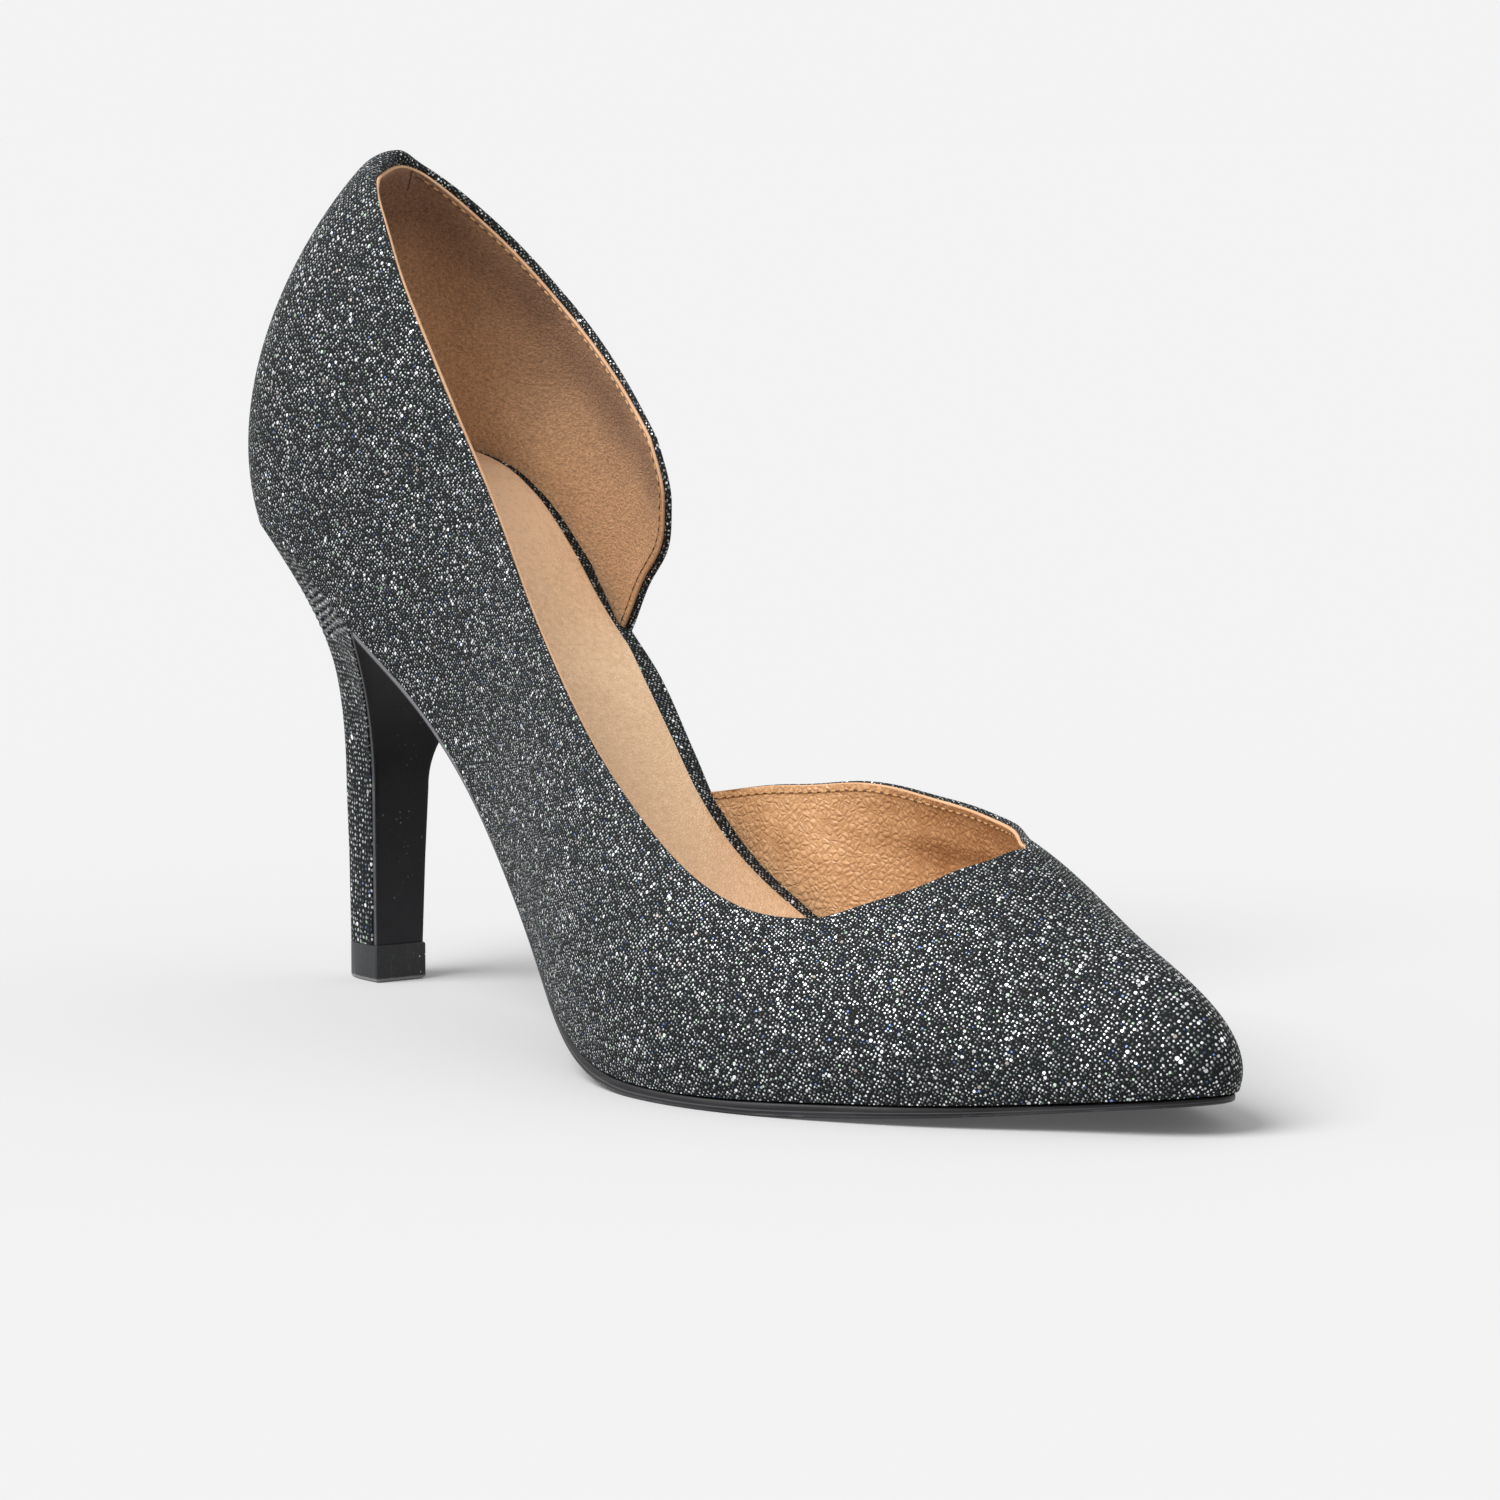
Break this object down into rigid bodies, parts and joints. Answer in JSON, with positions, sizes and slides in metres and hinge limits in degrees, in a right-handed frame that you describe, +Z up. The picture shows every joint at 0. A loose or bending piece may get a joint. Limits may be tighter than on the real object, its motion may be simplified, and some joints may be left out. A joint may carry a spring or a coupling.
{
  "type": "stiletto heel",
  "caption": "Pointed stiletto pump for the right foot, closed on its outer side and cut away on its inner side, with a V throat and a slim covered heel.",
  "frame": {"origin": "middle of the shoe's box in plan, on the floor it stands on", "axes": "+X to the toe, +Y to the inner (medial) side of the foot, +Z up"},
  "size_m": [0.226, 0.077, 0.1404],
  "materials": {
    "upper": "woven metallic cloth over a stiffened, leather-lined wall",
    "outsole": "satin",
    "insole": "board with its rim wrapped in the upper's cloth",
    "sock": "fine grain, matt",
    "heel": "moulded heel wrapped in the upper's cloth",
    "breast_cover": "satin",
    "top_piece": "satin"
  },
  "bodies": {
    "root": {"upper": "upper", "outsole": "outsole", "insole": "insole", "sock": "sock", "heel": "heel", "breast_cover": "breast_cover", "top_piece": "top_piece"}
  },
  "joints": []
}
